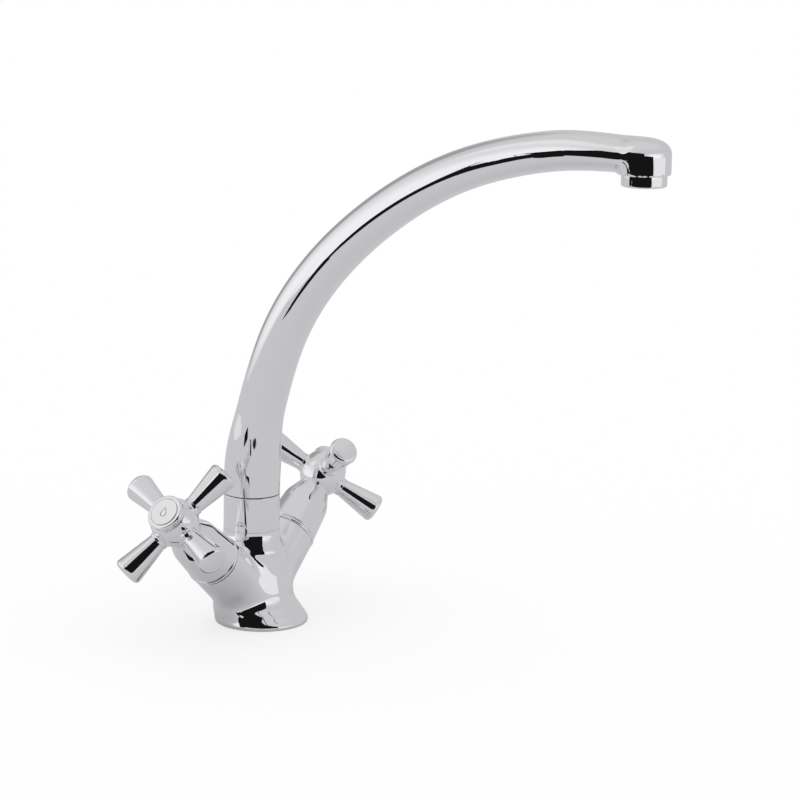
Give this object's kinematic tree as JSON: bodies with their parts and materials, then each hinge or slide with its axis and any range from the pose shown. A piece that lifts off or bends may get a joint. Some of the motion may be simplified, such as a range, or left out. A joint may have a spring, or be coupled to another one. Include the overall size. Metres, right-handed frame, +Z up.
{
  "type": "kitchen mixer tap",
  "caption": "Monobloc kitchen mixer tap with a swivelling swan-neck spout and two crosshead quarter-turn handles on angled valve arms.",
  "frame": {"origin": "centre of the foot's underside, on the worktop", "axes": "+Z up, spout towards -Y at rest, hot handle on -X, cold handle on +X"},
  "size_m": [0.1851, 0.273, 0.2751],
  "materials": {
    "chrome": "mirror-polished chrome plate",
    "index_chrome": "satin chrome plate",
    "brass": "machined brass",
    "rubber": "black nitrile rubber",
    "ceramic": "lapped white alumina",
    "dark_plastic": "dark acetal",
    "white_plastic": "white acetal",
    "steel": "stainless steel"
  },
  "bodies": {
    "root": {"body": "chrome", "base_seal": "rubber", "spout_collar": "chrome", "spout_grub_screw": "steel", "spout_bearing": "dark_plastic", "hot_bead_ring": "chrome", "hot_shroud": "chrome", "hot_headwork": "brass", "hot_seat_seal": "rubber", "hot_fixed_disc": "ceramic", "cold_bead_ring": "chrome", "cold_shroud": "chrome", "cold_headwork": "brass", "cold_seat_seal": "rubber", "cold_fixed_disc": "ceramic"},
    "spout": {"spout": "chrome", "spout_stem": "brass", "spout_seals": "rubber", "aerator_housing": "chrome", "aerator_screen": "steel", "aerator_insert": "white_plastic", "aerator_washer": "rubber"},
    "hot_handle": {"hot_moving_disc": "ceramic", "hot_spindle": "brass", "hot_spindle_ring": "rubber", "hot_circlip": "steel", "hot_hub": "chrome", "hot_handle_arms": "chrome", "hot_handle_screw": "steel", "hot_index_cap": "chrome", "hot_index_plate": "index_chrome"},
    "cold_handle": {"cold_moving_disc": "ceramic", "cold_spindle": "brass", "cold_spindle_ring": "rubber", "cold_circlip": "steel", "cold_hub": "chrome", "cold_handle_arms": "chrome", "cold_handle_screw": "steel", "cold_index_cap": "chrome", "cold_index_plate": "index_chrome"}
  },
  "joints": [
    {"name": "spout_swivel", "type": "hinge", "parent": "root", "child": "spout", "pos_m": [0, 0.0069, 0.08], "axis": [0, 0, 1], "continuous": true},
    {"name": "hot_turn", "type": "hinge", "parent": "root", "child": "hot_handle", "pos_m": [-0.04676, 0.0069, 0.0485], "axis": [-0.7793, 0, 0.6266], "range_deg": [0, 90]},
    {"name": "cold_turn", "type": "hinge", "parent": "root", "child": "cold_handle", "pos_m": [0.04676, 0.0069, 0.0485], "axis": [0.7793, 0, 0.6266], "range_deg": [-90, 0]}
  ]
}
